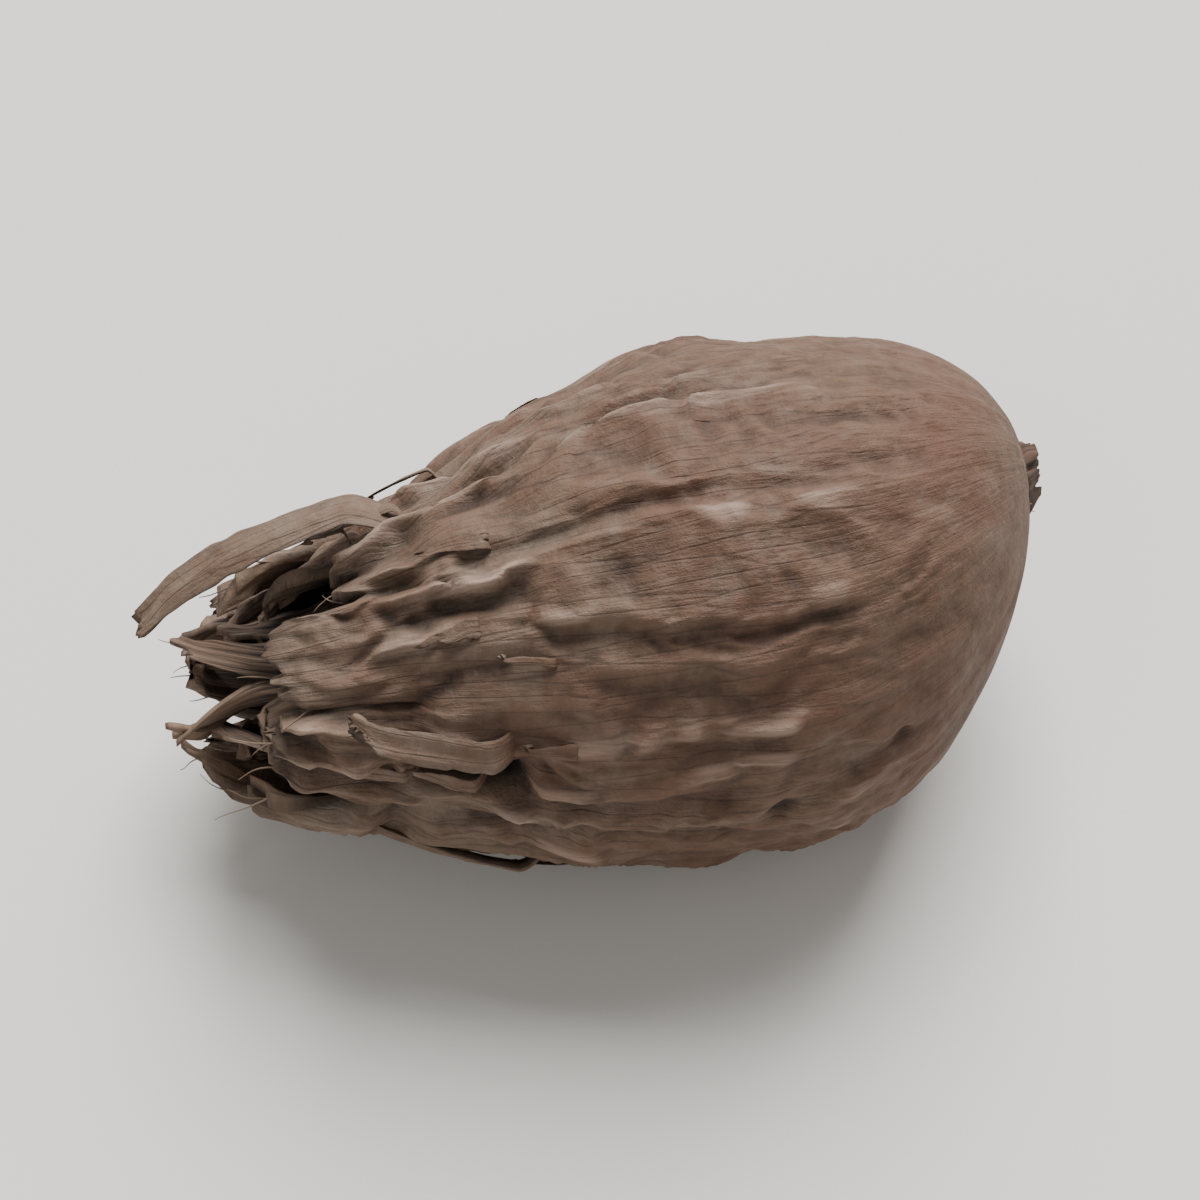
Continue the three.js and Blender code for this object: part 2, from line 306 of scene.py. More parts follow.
def pitMarks(points):
    # each pit is its depth times exp of minus its squared distance over its squared size
    d = huskDetail
    n = np.arange(d["pits"])
    along = mix(*d["pitsBetween"], draw(n, 35))
    angle = 2 * pi * draw(n, 36)
    where = place(along, bodyRadius(along, angle), angle)
    size = mix(*d["pitSizes"], draw(n, 37) ** 2)
    depth = 0.12 + 0.5 * size
    apart = ((points[..., None, :] - where) ** 2).sum(-1)
    return (np.exp(-apart / size**2) * depth).sum(-1)


def tearAt(q, along):
    # the slot under the front strip: exp of minus the squared distance across it, eased at its ends
    d = huskDetail
    across = (q - d["tearRib"]) / d["tearHalfRibs"]
    opens = ease(along, d["tearFrom"], d["tearFrom"] + d["tearEnds"])
    closes = ease(along, d["tearTo"], d["tearTo"] - d["tearEnds"])
    return np.exp(-(across**2)) * (opens * closes)


def ribRelief(q, along, points):
    # each rib's own mean height plus a slow wave, beaded and nicked, times a tent across the rib to
    # a power, less the depth between ribs, which bridges break up; minor ridges, striations,
    # puckers, dents, crumples towards the tip, pits and the torn slot follow
    d = huskDetail
    settled = ease(along, 0.3, 6)
    # the noise runs along the pod on a line that is itself a little uneven, so it shows no grid
    run = along + d["runUnevenness"] * reliefNoise("unevenRun", q, along)
    wiggle = reliefNoise("slowWiggle", q, along) + 0.4 * reliefNoise("quickWiggle", q, along)
    at = q + d["wiggle"] * wiggle * settled
    rib = np.round(at)
    own = rib % ribCount
    rounding = d["crestRounding"]
    fromCrest = np.hypot(np.abs(at - rib) * 2, rounding) - rounding
    tent = np.clip(1 - fromCrest / (np.hypot(1, rounding) - rounding), 0, 1)
    crest = tent ** podShape["ribSharpness"]
    mean = grown(d["ribHeight"], along)
    wave = 0.17 * np.sin(along * (0.9 + 0.5 * draw(own, 2)) + phase(own, 3))
    beads = 1 + d["beads"] * reliefNoise("beads", at, run)
    slant = d["nickSlant"] * np.sin((at - rib) * 3 + phase(own, 7))
    nicks = 1 - d["nicks"] * ease(reliefNoise("nicks", rib, run, 0, slant), 0.1, 0.9)
    high = d["ribsKept"] * mean * (0.55 + 0.6 * draw(own, 1) + wave) * beads * nicks * crest
    bridge = d["bridges"] * ease(reliefNoise("bridges", at, run, 0.5), -0.3, 0.7) * (1 - crest)
    sway = 0.5 * reliefNoise("sway", q, along, 0.25)
    ridge = (1 - np.abs(reliefNoise("minorRidges", at, along, sway))) ** 4
    patchy = ease(reliefNoise("puckeredPatches", q, along), -0.4, 0.6) * (1 - 0.6 * crest)
    pucker = reliefNoise("puckers", at, run, 0, 0.7 * np.sin(at * 2 * pi))
    small = d["minorRidges"] * ridge * (0.3 + mean)
    small = small + d["striations"] * reliefNoise("striations", at, along, sway)
    small = small + d["puckers"] * pucker * patchy - pitMarks(points)
    large = d["dents"] * lumpNoise(points, d["dentSize"], 24)
    large = large + d["lumps"] * lumpNoise(points, d["lumpSize"], 25)
    large = large + d["crumple"] * ease(along, 12, 20) * lumpNoise(points, d["crumpleSize"], 38)
    relief = high - grown(d["ribGap"], along) * (1 - bridge) + settled * (small + large)
    # how far a crest's high spots are painted pale: partly rubbed wear, partly a painted highlight
    rub = ease(high / mean, 0.2, 1.0) * ease(along, 4, 9)
    return relief - d["tearDepth"] * tearAt(q, along), rub


def skinRadius(q, along):
    # the body plus the relief, less a notch between lobes that grows as the sixth power of the way
    # from a lobe's middle to its edge
    p = podShape
    across = lobeAt(q)[1]
    angle = ribAngle(q, along)
    body = bodyRadius(along, angle)
    relief, rub = ribRelief(q, along, place(along, body, angle))
    notch = p["notchDepth"] * ease(along, p["notchFrom"], p["notchFull"]) * np.abs(across) ** 6
    return body + relief - notch, relief, rub


def rimAlong(q):
    # from the notch to the lobe's papery end as 1 - |across|^5, less a ragged edge, frayed fibres
    # and slits between ribs
    d = huskDetail
    index, across = lobeAt(q)
    ragged = d["raggedness"] * betweenRibs(q * 2, lambda rib: draw(rib, 10))
    fray = d["fray"] * (0.5 + 0.5 * reliefNoise("fray", q, 0.0))
    low = np.floor(q)
    fromValley = (q - low - 0.5) / d["slitHalfRibs"]
    slit = d["slits"] * draw(low % ribCount, 27) * np.exp(-(fromValley**2))
    reach = lobeEnd[index] + d["paperyEnd"] - podShape["notchAlong"] - ragged - fray - slit
    return podShape["notchAlong"] + np.maximum(reach, d["shortestLobe"]) * (1 - np.abs(across) ** 5)


def outerSkin(q, along):
    # the skin's radius plus the lobe's rise, at the rib's angle plus the lobe's turn
    radius, relief, rub = skinRadius(q, along)
    out, turn = lobeBend(q, along)
    return place(along, radius + out, ribAngle(q, along) + turn), relief, rub


def innerSkin(q, along, share=1.0):
    # the egg less a wall that thins to the rim, and never closer to the skin than the rim's wall
    p, d = podShape, huskDetail
    thinned = ease(along, p["wallThinsFrom"], p["wallThinsTo"])
    wall = mix(d["rootWall"], d["rimWall"] + grown(d["ribGap"], along) * 0.6, thinned)
    out, turn = lobeBend(q, along)
    angle = ribAngle(q, along)
    fibre = d["innerFibres"] * reliefNoise("innerFibres", q, along)
    radius = np.minimum(bodyRadius(along, angle) - wall, skinRadius(q, along)[0] - d["rimWall"])
    return place(along, np.maximum(radius + out + fibre, 0.3) * share, angle + turn)


def spread(field, reach):
    # each point's mean with its neighbours within reach columns and half as many rows
    mean = sum(np.roll(field, n, axis=1) for n in range(-reach, reach + 1)) / (2 * reach + 1)
    rows = np.arange(len(field))
    half = reach // 2
    total = sum(mean[np.clip(rows + n, 0, rows[-1])] for n in range(-half, half + 1))
    return total / (2 * half + 1)


def standing(relief, reach, depth):
    # how far each point stands over its surroundings, as a share of the depth
    return np.clip((relief - spread(relief, reach)) / depth, -1, 1)


def closedShells(rings, firstPoles, lastPoles):
    # shells x rings x columns of points: quads join the rings, and a fan of triangles closes each
    # shell from its first and from its last ring to a pole
    shells, rows, columns = rings.shape[:3]
    poles = [np.reshape(pole, (shells, 1, 3)) for pole in (firstPoles, lastPoles)]
    points = np.concatenate([rings.reshape(shells, -1, 3), *poles], axis=1)
    c = np.arange(columns)
    n = (c + 1) % columns
    row = (np.arange(rows - 1) * columns)[:, None]
    quads = together(row + c, row + n, row + columns + n, row + columns + c)
    last = (rows - 1) * columns
    ends = together(n, c, rows * columns), together(last + c, last + n, rows * columns + 1)
    fans = np.concatenate(ends)
    # turned over where the first ring's faces would look inwards
    middle, following, ring = rings[0, 0].mean(0), rings[0, 1].mean(0), rings[0, 0]
    spin = np.cross(ring - middle, np.roll(ring, -1, 0) - middle).sum(0)
    if np.dot(spin, following - middle) < 0:
        quads, fans = quads[:, :, ::-1], fans[:, ::-1]
    shift = (np.arange(shells) * (rows * columns + 2))[:, None, None]
    quads = (quads.reshape(-1, 4) + shift).reshape(-1, 4)
    return points.reshape(-1, 3), quads, (fans + shift).reshape(-1, 3)


def withPoles(field, first=None, last=None):
    # a value for each point of the shells, then for each shell's two poles, in the order of the
    # points; a pole that is given none takes that of its own ring's first point
    shells, size = len(field), field.shape[-1]
    first = field[:, 0, :1] if first is None else np.broadcast_to(first, (shells, 1, size))
    last = field[:, -1, :1] if last is None else np.broadcast_to(last, (shells, 1, size))
    return np.concatenate([field.reshape(shells, -1, size), first, last], 1).reshape(-1, size)


def addPiece(name, surface, attributes, material, standsFor=None):
    # the points in millimetres and their faces become one object that rides on the pod; of its
    # attributes, "grain" is where a point lies among the fibres, the second holds its tone, which
    # carries painted shade and painted light, its share of the pod's length and how torn it is, and
    # the third is how far a crest is painted pale, partly rubbed and partly a painted highlight
    points, quads, fans = surface
    mesh = bpy.data.meshes.new(name)
    mesh.vertices.add(len(points))
    mesh.vertices.foreach_set("co", (points * metresPerMm).astype(np.float32).ravel())
    corners = np.concatenate([quads.ravel(), fans.ravel()])
    starts = np.concatenate([np.arange(len(quads)) * 4, quads.size + np.arange(len(fans)) * 3])
    mesh.loops.add(len(corners))
    mesh.loops.foreach_set("vertex_index", corners.astype(np.int32))
    mesh.polygons.add(len(starts))
    mesh.polygons.foreach_set("loop_start", starts.astype(np.int32))
    mesh.update(calc_edges=True)
    mesh.shade_smooth()
    for key, values in attributes.items():
        kind, field = ("FLOAT_VECTOR", "vector") if values.ndim == 2 else ("FLOAT", "value")
        layer = mesh.attributes.new(key, kind, "POINT")
        layer.data.foreach_set(field, values.astype(np.float32).ravel())
    mesh.materials.append(material)
    piece = bpy.data.objects.new(name, mesh)
    bpy.context.scene.collection.objects.link(piece)
    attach(piece, "root")
    if standsFor:
        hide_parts(standsFor)
    print(name, len(quads) * 2 + len(fans), "triangles")


def linear(hexColour):
    # sRGB hex to linear: (c + 0.055) / 1.055 to the power 2.4 above a small straight part
    c = np.array([int(hexColour[i : i + 2], 16) / 255 for i in (1, 3, 5)])
    c = np.where(c <= 0.04045, c / 12.92, ((c + 0.055) / 1.055) ** 2.4)
    return (*c.tolist(), 1.0)


def newMaterial(name, roughness):
    # dry plant matter and dull paint both bend light about as glass does
    material = bpy.data.materials.new(name)
    material.use_nodes = True
    shader = material.node_tree.nodes["Principled BSDF"]
    shader.inputs["IOR"].default_value = 1.5
    shader.inputs["Roughness"].default_value = roughness
    return material, material.node_tree, shader


def addNode(tree, kind, settings=None, links=None):
    # settings go to sockets by name or number, else to the node; "stops" are a ramp's colours
    node = tree.nodes.new(kind)
    for key, value in (settings or {}).items():
        if key == "stops":
            ramp = node.color_ramp.elements
            while len(ramp) < len(value):
                ramp.new(0.5)
            for stop, (position, colour) in zip(ramp, value):
                stop.position = position
                stop.color = linear(colour) if isinstance(colour, str) else (colour,) * 3 + (1,)
        elif isinstance(key, int) or key in node.inputs:
            node.inputs[key].default_value = value
        else:
            setattr(node, key, value)
    for key, socket in (links or {}).items():
        tree.links.new(socket, node.inputs[key])
    return node


# Dried fruit-husk leather: a thin fibrous fruit wall that shrank over the seeds as it was smoked
# dry. The eye gets dull red-brown skin with fibres along the pod, with painted shade in its
# furrows, pits, torn slot and hollow, painted light on its crests, and pale high spots on the ribs,
# partly rubbed and partly a painted highlight. Real fibres are a few hundredths of a millimetre
# wide, and they are drawn about 0.2 mm wide so that they show.
huskLook = {
    # painted shade of furrows and pits, the skin, and a paler crest colour with painted light
    "paintedFurrowShade": "#38281c",
    "skin": "#684e3c",
    "toneWithPaintedShade": "#7c634f",
    "redSkin": "#654333",
    "dust": "#7e6e5f",
    # pale of the crests' high spots: partly rubbed, partly a painted highlight
    "rubbedAndHighlight": "#ae9484",
    "cracks": "#32221a",
    "torn": "#7d6653",
    # painted shade of the hollow and of the torn slot
    "paintedHollowShade": "#150e0a",
    "roughness": 0.72,
    "roughnessSpread": 0.14,
    # noises: marks to the millimetre, detail, roughness, and what they follow
    "noises": {
        "streak": (1.3, 5, 0.62, "grain"),
        "fibres": (5.5, 4, 0.6, "grain"),
        "dashes": (3.0, 3, 0.55, "grain"),
        "cloud": (0.2, 4, 0.6, "millimetres"),
        "dust": (0.45, 5, 0.7, "millimetres"),
        "mottle": (1.5, 6, 0.7, "millimetres"),
    },
    "noiseInTone": 0.42,
    "toneShare": 0.8,
    # tone stops: painted furrow shade, the skin, and painted light on the highest crests
    "tones": [(0.52, "paintedFurrowShade"), (0.78, "skin"), (0.98, "skin"), (1.0, "toneWithPaintedShade")],
    # inside: painted shade of the hollow, then torn fibre
    "tonesInside": [(0.05, "paintedHollowShade"), (0.55, "torn")],
    # how strongly a colour shows, at a low and at a high value of its noise
    "redShows": {"stops": [(0.38, 0.0), (0.68, 0.8)]},
    "dustShows": {"stops": [(0.5, 0.0), (0.72, 0.6)]},
    "cracksShow": {"stops": [(0.0, 0.4), (0.06, 0.0)]},
    "rubAndHighlightShows": {"stops": [(0.2, 0.0), (0.5, 0.75)]},
    # how they grow between two shares of the pod's length, from the stalk end
    "redAlong": {"From Min": 0.75, "From Max": 0.05, "To Min": 0.25, "To Max": 1.1},
    "dustAlong": {"From Min": 0.2, "From Max": 0.8, "To Min": -0.06, "To Max": 0.15},
    "cracksAlong": {"From Min": 0.05, "From Max": 0.35, "To Min": 0.25, "To Max": 1.0},
    "cracksPerMm": 1.5,
    # bumps: strength, and depth in millimetres
    "bumps": {"fibres": (0.6, 0.12), "mottle": (0.6, 0.22), "cracks": (0.5, -0.08)},
}


def huskLeather():
    # the tone, with its painted shade and painted light, then washes of red, dust, cracks and
    # rubbing with a painted highlight over it, then the torn inside with the painted shade of the
    # hollow; a colour Mix node takes its share at socket 0 and its colours at 6 and 7, and gives
    # them mixed at 2
    look = huskLook
    material, tree, shader = newMaterial("driedHuskLeather", look["roughness"])
    where = addNode(tree, "ShaderNodeTexCoord").outputs["Object"]
    scale = {"Scale": (1 / metresPerMm,) * 3}
    inMm = addNode(tree, "ShaderNodeMapping", scale, {"Vector": where}).outputs["Vector"]
    grain = addNode(tree, "ShaderNodeAttribute", {"attribute_name": "grain"}).outputs["Vector"]
    wear = addNode(tree, "ShaderNodeAttribute", {"attribute_name": "wear"}).outputs["Vector"]
    rub = addNode(tree, "ShaderNodeAttribute", {"attribute_name": "rub"}).outputs["Fac"]
    toneWithPaintedShade, along, torn = addNode(tree, "ShaderNodeSeparateXYZ", {}, {0: wear}).outputs

    marks = {}
    for name, (perMm, detail, roughness, follows) in look["noises"].items():
        settings = {"Scale": perMm, "Detail": detail, "Roughness": roughness}
        links = {"Vector": grain if follows == "grain" else inMm}
        marks[name] = addNode(tree, "ShaderNodeTexNoise", settings, links).outputs["Fac"]

    # how far the skin stands up, roughened by streaks and mottling, picks from painted furrow shade
    # through the skin to a crest colour with painted light
    height = toneWithPaintedShade
    for name in ("streak", "mottle"):
        settings = {"operation": "MULTIPLY_ADD", 1: look["noiseInTone"]}
        links = {0: marks[name], 2: height}
        height = addNode(tree, "ShaderNodeMath", settings, links).outputs[0]
    settings = {"operation": "MULTIPLY", 1: look["toneShare"]}
    height = addNode(tree, "ShaderNodeMath", settings, {0: height}).outputs[0]
    stops = {"stops": [(value, look[tone]) for value, tone in look["tones"]]}
    colour = addNode(tree, "ShaderNodeValToRGB", stops, {"Fac": height}).outputs["Color"]

    # redder in clouds, most of all towards the stalk end
    links = {"Fac": marks["cloud"]}
    clouds = addNode(tree, "ShaderNodeValToRGB", look["redShows"], links).outputs["Color"]
    tint = addNode(tree, "ShaderNodeMapRange", look["redAlong"], {"Value": along}).outputs[0]
    links = {0: tint, 1: clouds}
    reds = addNode(tree, "ShaderNodeMath", {"operation": "MULTIPLY"}, links).outputs[0]

    # grey dust settles in patches, more of it towards the tip
    more = addNode(tree, "ShaderNodeMapRange", look["dustAlong"], {"Value": along}).outputs[0]
    links = {0: marks["dust"], 1: more}
    dust = addNode(tree, "ShaderNodeMath", {"operation": "ADD"}, links).outputs[0]
    dust = addNode(tree, "ShaderNodeValToRGB", look["dustShows"], {"Fac": dust}).outputs["Color"]

    # fine cracks run along the fibres, fainter where the fibres crowd together at the stalk
    settings = {"feature": "DISTANCE_TO_EDGE", "Scale": look["cracksPerMm"], "Randomness": 1.0}
    edge = addNode(tree, "ShaderNodeTexVoronoi", settings, {"Vector": grain}).outputs["Distance"]
    cracks = addNode(tree, "ShaderNodeValToRGB", look["cracksShow"], {"Fac": edge}).outputs["Color"]
    clear = addNode(tree, "ShaderNodeMapRange", look["cracksAlong"], {"Value": along}).outputs[0]
    links = {0: cracks, 1: clear}
    cracks = addNode(tree, "ShaderNodeMath", {"operation": "MULTIPLY"}, links).outputs[0]
    marks["cracks"] = cracks

    # the ribs' high spots are pale in short dashes, partly rubbed and partly a painted highlight
    links = {0: marks["dashes"], 1: rub}
    rubbedAndHighlight = addNode(tree, "ShaderNodeMath", {"operation": "MULTIPLY"}, links).outputs[0]
    rubbedAndHighlight = addNode(tree, "ShaderNodeValToRGB", look["rubAndHighlightShows"], {"Fac": rubbedAndHighlight}).outputs["Color"]

    for share, over in ((reds, "redSkin"), (dust, "dust"), (cracks, "cracks"), (rubbedAndHighlight, "rubbedAndHighlight")):
        settings = {"data_type": "RGBA", 7: linear(look[over])}
        colour = addNode(tree, "ShaderNodeMix", settings, {0: share, 6: colour}).outputs[2]

    # torn edges and the inner wall show fibre, and the hollow gets painted shade
    links = {0: marks["streak"], 1: toneWithPaintedShade}
    shade = addNode(tree, "ShaderNodeMath", {"operation": "MULTIPLY"}, links).outputs[0]
    stops = {"stops": [(value, look[tone]) for value, tone in look["tonesInside"]]}
    inside = addNode(tree, "ShaderNodeValToRGB", stops, {"Fac": shade}).outputs["Color"]
    links = {0: torn, 6: colour, 7: inside}
    colour = addNode(tree, "ShaderNodeMix", {"data_type": "RGBA"}, links).outputs[2]
    tree.links.new(colour, shader.inputs["Base Color"])

    # rougher where the mottling is low
    roughest = look["roughness"] + look["roughnessSpread"]
    smoothest = look["roughness"] - look["roughnessSpread"]
    settings = {"From Min": 0.3, "From Max": 0.7, "To Min": roughest, "To Max": smoothest}
    rough = addNode(tree, "ShaderNodeMapRange", settings, {"Value": marks["mottle"]}).outputs[0]
    tree.links.new(rough, shader.inputs["Roughness"])

    # fibres along the pod, wrinkled skin, then cracks
    normal = None
    for name, (strength, depth) in look["bumps"].items():
        links = {"Height": marks[name], "Normal": normal} if normal else {"Height": marks[name]}
        settings = {"Strength": strength, "Distance": abs(depth) * metresPerMm, "invert": depth < 0}
        normal = addNode(tree, "ShaderNodeBump", settings, links).outputs["Normal"]
    tree.links.new(normal, shader.inputs["Normal"])
    return material


# Dry plant fibre, split off a husk or a stalk: straw-brown and dull, darker between its strands,
# paler where it tore. Real strands lie closer than 0.1 mm. They are drawn 0.3 to 0.5 mm apart so
# that they show, and perMm is how many of them go to a millimetre.
fibreLooks = {
    # the inner fruit wall, split into flaps: stringy, straw-brown to tan
    "splitRibFibre": {"dark": "#2f2119", "pale": "#927a68", "perMm": 3.5, "roughness": 0.75},
    # petals dried to paper: matt, with a dark colour that also paints the shade deep in the hollow
    "paperyDriedFlower": {"dark": "#1f140e", "pale": "#8a705d", "perMm": 3.0, "roughness": 0.8},
    # a snapped bundle of wood fibres: dark, with a dull broken end
    "brokenStalkWood": {"dark": "#1f1610", "pale": "#634a3b", "perMm": 2.5, "roughness": 0.85},
    # single threads of bast: pale against the dark hollow
    "looseBastFibre": {"dark": "#4a392c", "pale": "#8a7462", "perMm": 2.0, "roughness": 0.8},
}
strandNoise = {"Detail": 5, "Roughness": 0.6}
# the share of the tone, with its painted shade, that goes into the strands' colour
strandTone = {"toneWithPaintedShadeShare": 0.5, "darkAt": 0.46, "paleAt": 0.92}
strandBump = {"Strength": 0.7, "Distance": 0.12 * metresPerMm}


def plantFibre(name):
    # strand noise plus a share of the fibre's tone, which carries painted shade in the hollow and
    # on undersides, picks from dark to pale
    look = fibreLooks[name]
    material, tree, shader = newMaterial(name, look["roughness"])
    grain = addNode(tree, "ShaderNodeAttribute", {"attribute_name": "grain"}).outputs["Vector"]
    settings = strandNoise | {"Scale": look["perMm"]}
    strands = addNode(tree, "ShaderNodeTexNoise", settings, {"Vector": grain}).outputs["Fac"]
    wear = addNode(tree, "ShaderNodeAttribute", {"attribute_name": "wear"}).outputs["Vector"]
    toneWithPaintedShade = addNode(tree, "ShaderNodeSeparateXYZ", {}, {0: wear}).outputs[0]
    settings = {"operation": "MULTIPLY_ADD", 1: strandTone["toneWithPaintedShadeShare"]}
    shade = addNode(tree, "ShaderNodeMath", settings, {0: toneWithPaintedShade, 2: strands}).outputs[0]
    stops = [(strandTone["darkAt"], look["dark"]), (strandTone["paleAt"], look["pale"])]
    stops = {"stops": stops}
    colour = addNode(tree, "ShaderNodeValToRGB", stops, {"Fac": shade}).outputs["Color"]
    tree.links.new(colour, shader.inputs["Base Color"])
    normal = addNode(tree, "ShaderNodeBump", strandBump, {"Height": strands}).outputs["Normal"]
    tree.links.new(normal, shader.inputs["Normal"])
    return material


leather = huskLeather()
splitRib = plantFibre("splitRibFibre")
driedFlower = plantFibre("paperyDriedFlower")
stalkWood = plantFibre("brokenStalkWood")
looseFibre = plantFibre("looseBastFibre")
print("materials made")


def buildHusk():
    # one shell: the skin from the stalk end to the rim, the inner wall from the rim back to the
    # hollow's floor, and a ring halfway in over that floor
    p, d = podShape, huskDetail
    q = np.arange(ribCount * d["columnsPerRib"]) / d["columnsPerRib"]
    rim = rimAlong(q)

    def shares(rows):
        # even steps up to 1, one to a row
        return (np.arange(1, rows + 1) / rows)[:, None]

    body = d["bodyRowsEnd"] * shares(d["bodyRows"]) ** d["bodyRowsPower"] + 0 * q
    outerAlong = np.concatenate([body, mix(d["bodyRowsEnd"], rim, shares(d["lobeRows"]))])
    innerAlong = mix(rim, p["hollowFloor"], (np.arange(d["wallRows"] + 1) / d["wallRows"])[:, None])
    along = np.concatenate([outerAlong, innerAlong, innerAlong[-1:]])
    outer, relief, rub = outerSkin(q, outerAlong)
    rings = np.concatenate([outer, innerSkin(q, innerAlong), innerSkin(q, innerAlong[-1:], 0.5)])
    rings[..., 2] = np.maximum(rings[..., 2], 0)
    angle = ribAngle(q, along)
    half = p["width"] / 2
    grain = together(half * np.cos(angle), half * np.sin(angle), along * grainStretch)
    # torn at the rim, in the slot and all over the inside
    tear = tearAt(q, outerAlong)
    torn = ease(rim - along, d["tornRim"], 0.0) * 0.8
    torn[: len(tear)] = np.maximum(torn[: len(tear)], ease(tear, 0.2, 0.6))
    torn[len(tear) :] = 1
    # tone by how far the skin stands over wide and over close surroundings: painted shade in
    # furrows and pits and painted light on crests; painted shade in the slot, and inside, painted
    # light at the rim falling to painted shade at the floor
    toneWithPaintedShade = 0.5
    for reach, depth, share in d["surroundings"]:
        toneWithPaintedShade = toneWithPaintedShade + share * standing(relief, reach, depth)
    toneWithPaintedShade = toneWithPaintedShade * (1 - ease(tear, 0.2, 0.9))
    paintedWallLight = d["wallRimPaintedLight"] * ease(innerAlong, p["hollowFloor"] + 1.5, rim + 0.3)
    toneWithPaintedShade = np.concatenate([toneWithPaintedShade, paintedWallLight, 0 * paintedWallLight[-1:]])
    rub = np.concatenate([spread(rub, d["rubAndHighlightSpread"]), 0 * paintedWallLight, 0 * paintedWallLight[-1:]])
    wear = together(toneWithPaintedShade, along / podLength, torn)
    attributes = {
        "grain": withPoles(grain[None], 0, (0, 0, grainStretch * p["hollowFloor"])),
        "wear": withPoles(wear[None], (0.5, 0, 0), (0, 0.7, 1)),
        "rub": withPoles(rub[None, ..., None], 0, 0)[:, 0],
    }
    surface = closedShells(rings[None], place(0.0, 0.0, 0.0), place(p["hollowFloor"], 0.0, 0.0))
    addPiece("huskSkin", surface, attributes, leather, "husk")


def ribbons(shape):
    # each ribbon leaves the husk at one rib coordinate and follows the egg, sunk at its root,
    # raised as a sine of its length and opened as its square; its section is a flat oval whose
    # edges curl up, narrowed at its root, by the square of its length, and by a slow and a quick
    # unevenness
    def each(key):
        # one value to a ribbon, to be worked with along its length and round its section
        return np.broadcast_to(np.asarray(shape[key], float), len(shape["seed"]))[:, None, None]

    seed = each("seed")
    s = np.linspace(0, 1, shape["steps"])[None, :, None]
    turn = (np.arange(shape["sides"]) / shape["sides"] * 2 * pi)[None, None]
    along = mix(each("start"), each("end"), s)
    rise = each("lift") * np.sin(pi * 0.62 * s) + each("opening") * s**2
    rise = rise - each("sink") * (1 - ease(s, 0, 0.3))
    angle = ribAngle(each("rib") + 0 * along, along) + each("drift") * s**2
    radius = np.maximum(bodyRadius(along, angle) - shape["underside"] + rise, 0.35)
    period = 99  # patches, more than a ribbon is long, so none repeats
    slow = patchNoise(s * 6, seed * 3, period, 31)
    quick = patchNoise(s * 21, seed * 5, period, 33)
    taper = (1 - shape["pointed"] * s**2) * (0.55 + 0.45 * ease(s, 0, 0.3))
    taper = taper * (1 + 0.2 * slow + 0.1 * quick)
    side = np.cos(turn) * each("width") / 2 * taper
    ridge = 0.28 * np.cos(np.cos(turn) * 5 + seed)
    up = np.sin(turn) * each("thickness") / 2 * taper * (1 + ridge)
    up = up + each("curl") * (np.cos(turn) ** 2) * s
    roll = each("twist") * s**2
    across = side * np.cos(roll) - up * np.sin(roll)
    height = side * np.sin(roll) + up * np.cos(roll)
    wave = 0.1 * np.sin(s * (7 + 3 * draw(seed, 32)) + seed) * s
    angle = angle + wave / np.maximum(radius, 1)
    fray = 0.5 * ease(s, 0.85, 1) * draw(np.round(turn * 3) + seed * 7, 33)
    points = place(along - fray, radius + height, angle + across / np.maximum(radius, 0.8))
    points[..., 2] = np.maximum(points[..., 2], 0.02)
    grain = together(side * 1.4 + seed * 5, up * 2, along * grainStretch)
    # painted shade of the hollow: full up to the first along, gone by the second
    pale = ease(along, shape["fullPaintedShadeTo"], shape["noPaintedShadeFrom"])
    # upper side painted lighter and underside painted darker, as light and shade fall; the torn end
    # is paler
    toneWithPaintedShade = (0.38 + 0.36 * np.sin(turn) + 0.45 * ease(s, 0.85, 1.0)) * pale
    torn = 0.5 * np.cos(turn) ** 6 + ease(s, 0.9, 1.0) * 0.5
    wear = together(toneWithPaintedShade, along / podLength, torn)
    attributes = {"grain": withPoles(grain), "wear": withPoles(wear)}
    return closedShells(points, points[:, 0].mean(1), points[:, -1].mean(1)), attributes


# Rib strips that have lifted off, one value to a strip where they differ. Lengths are in
# millimetres, "along" for the start, the end, and where the painted shade of the hollow is full to
# and gone from; drift and twist are in radians.
liftedStrips = {
    "steps": 80,
    "sides": 28,
    "rib": [2, 17, 21, 8, 13],
    "start": [19.2, 15.8, 16.8, 19.1, 19.9],
    "end": [29.0, 22.8, 22.6, 26.7, 27.4],
    "lift": [0.95, 0.05, 0.75, 0.6, 0.45],
    "opening": [0.0, -0.6, -0.1, 0.0, 0.0],
    "sink": 1.6,
    "width": [1.8, 1.3, 1.3, 1.0, 0.95],
    "thickness": [0.42, 0.36, 0.36, 0.36, 0.36],
    "drift": 0.1,  # round the pod, by the end
    "curl": [0.12, 0.2, 0.2, 0.2, 0.2],
    "twist": [1.1, -0.3, -0.7, -0.4, 0.4],
    "underside": 0.0,  # how far they run under the egg
    "pointed": 0.5,  # share of the width lost by the end
    "fullPaintedShadeTo": 0.0,
    "noPaintedShadeFrom": 0.1,
    "seed": [1, 2, 3, 4, 5],
}


def buildStrips():
    surface, attributes = ribbons(liftedStrips)
    addPiece("liftedRibStrips", surface, attributes, leather)


def drawn(plan):
    # the plan with a value drawn for each ribbon where it gives a range: low end, high end, trait
    n = np.arange(plan["count"])
    shape = dict(plan, seed=n + plan["firstSeed"])
    for key, value in plan.items():
        if isinstance(value, tuple):
            low, high, trait = value
            shape[key] = mix(low, high, draw(n, trait))
    return shape


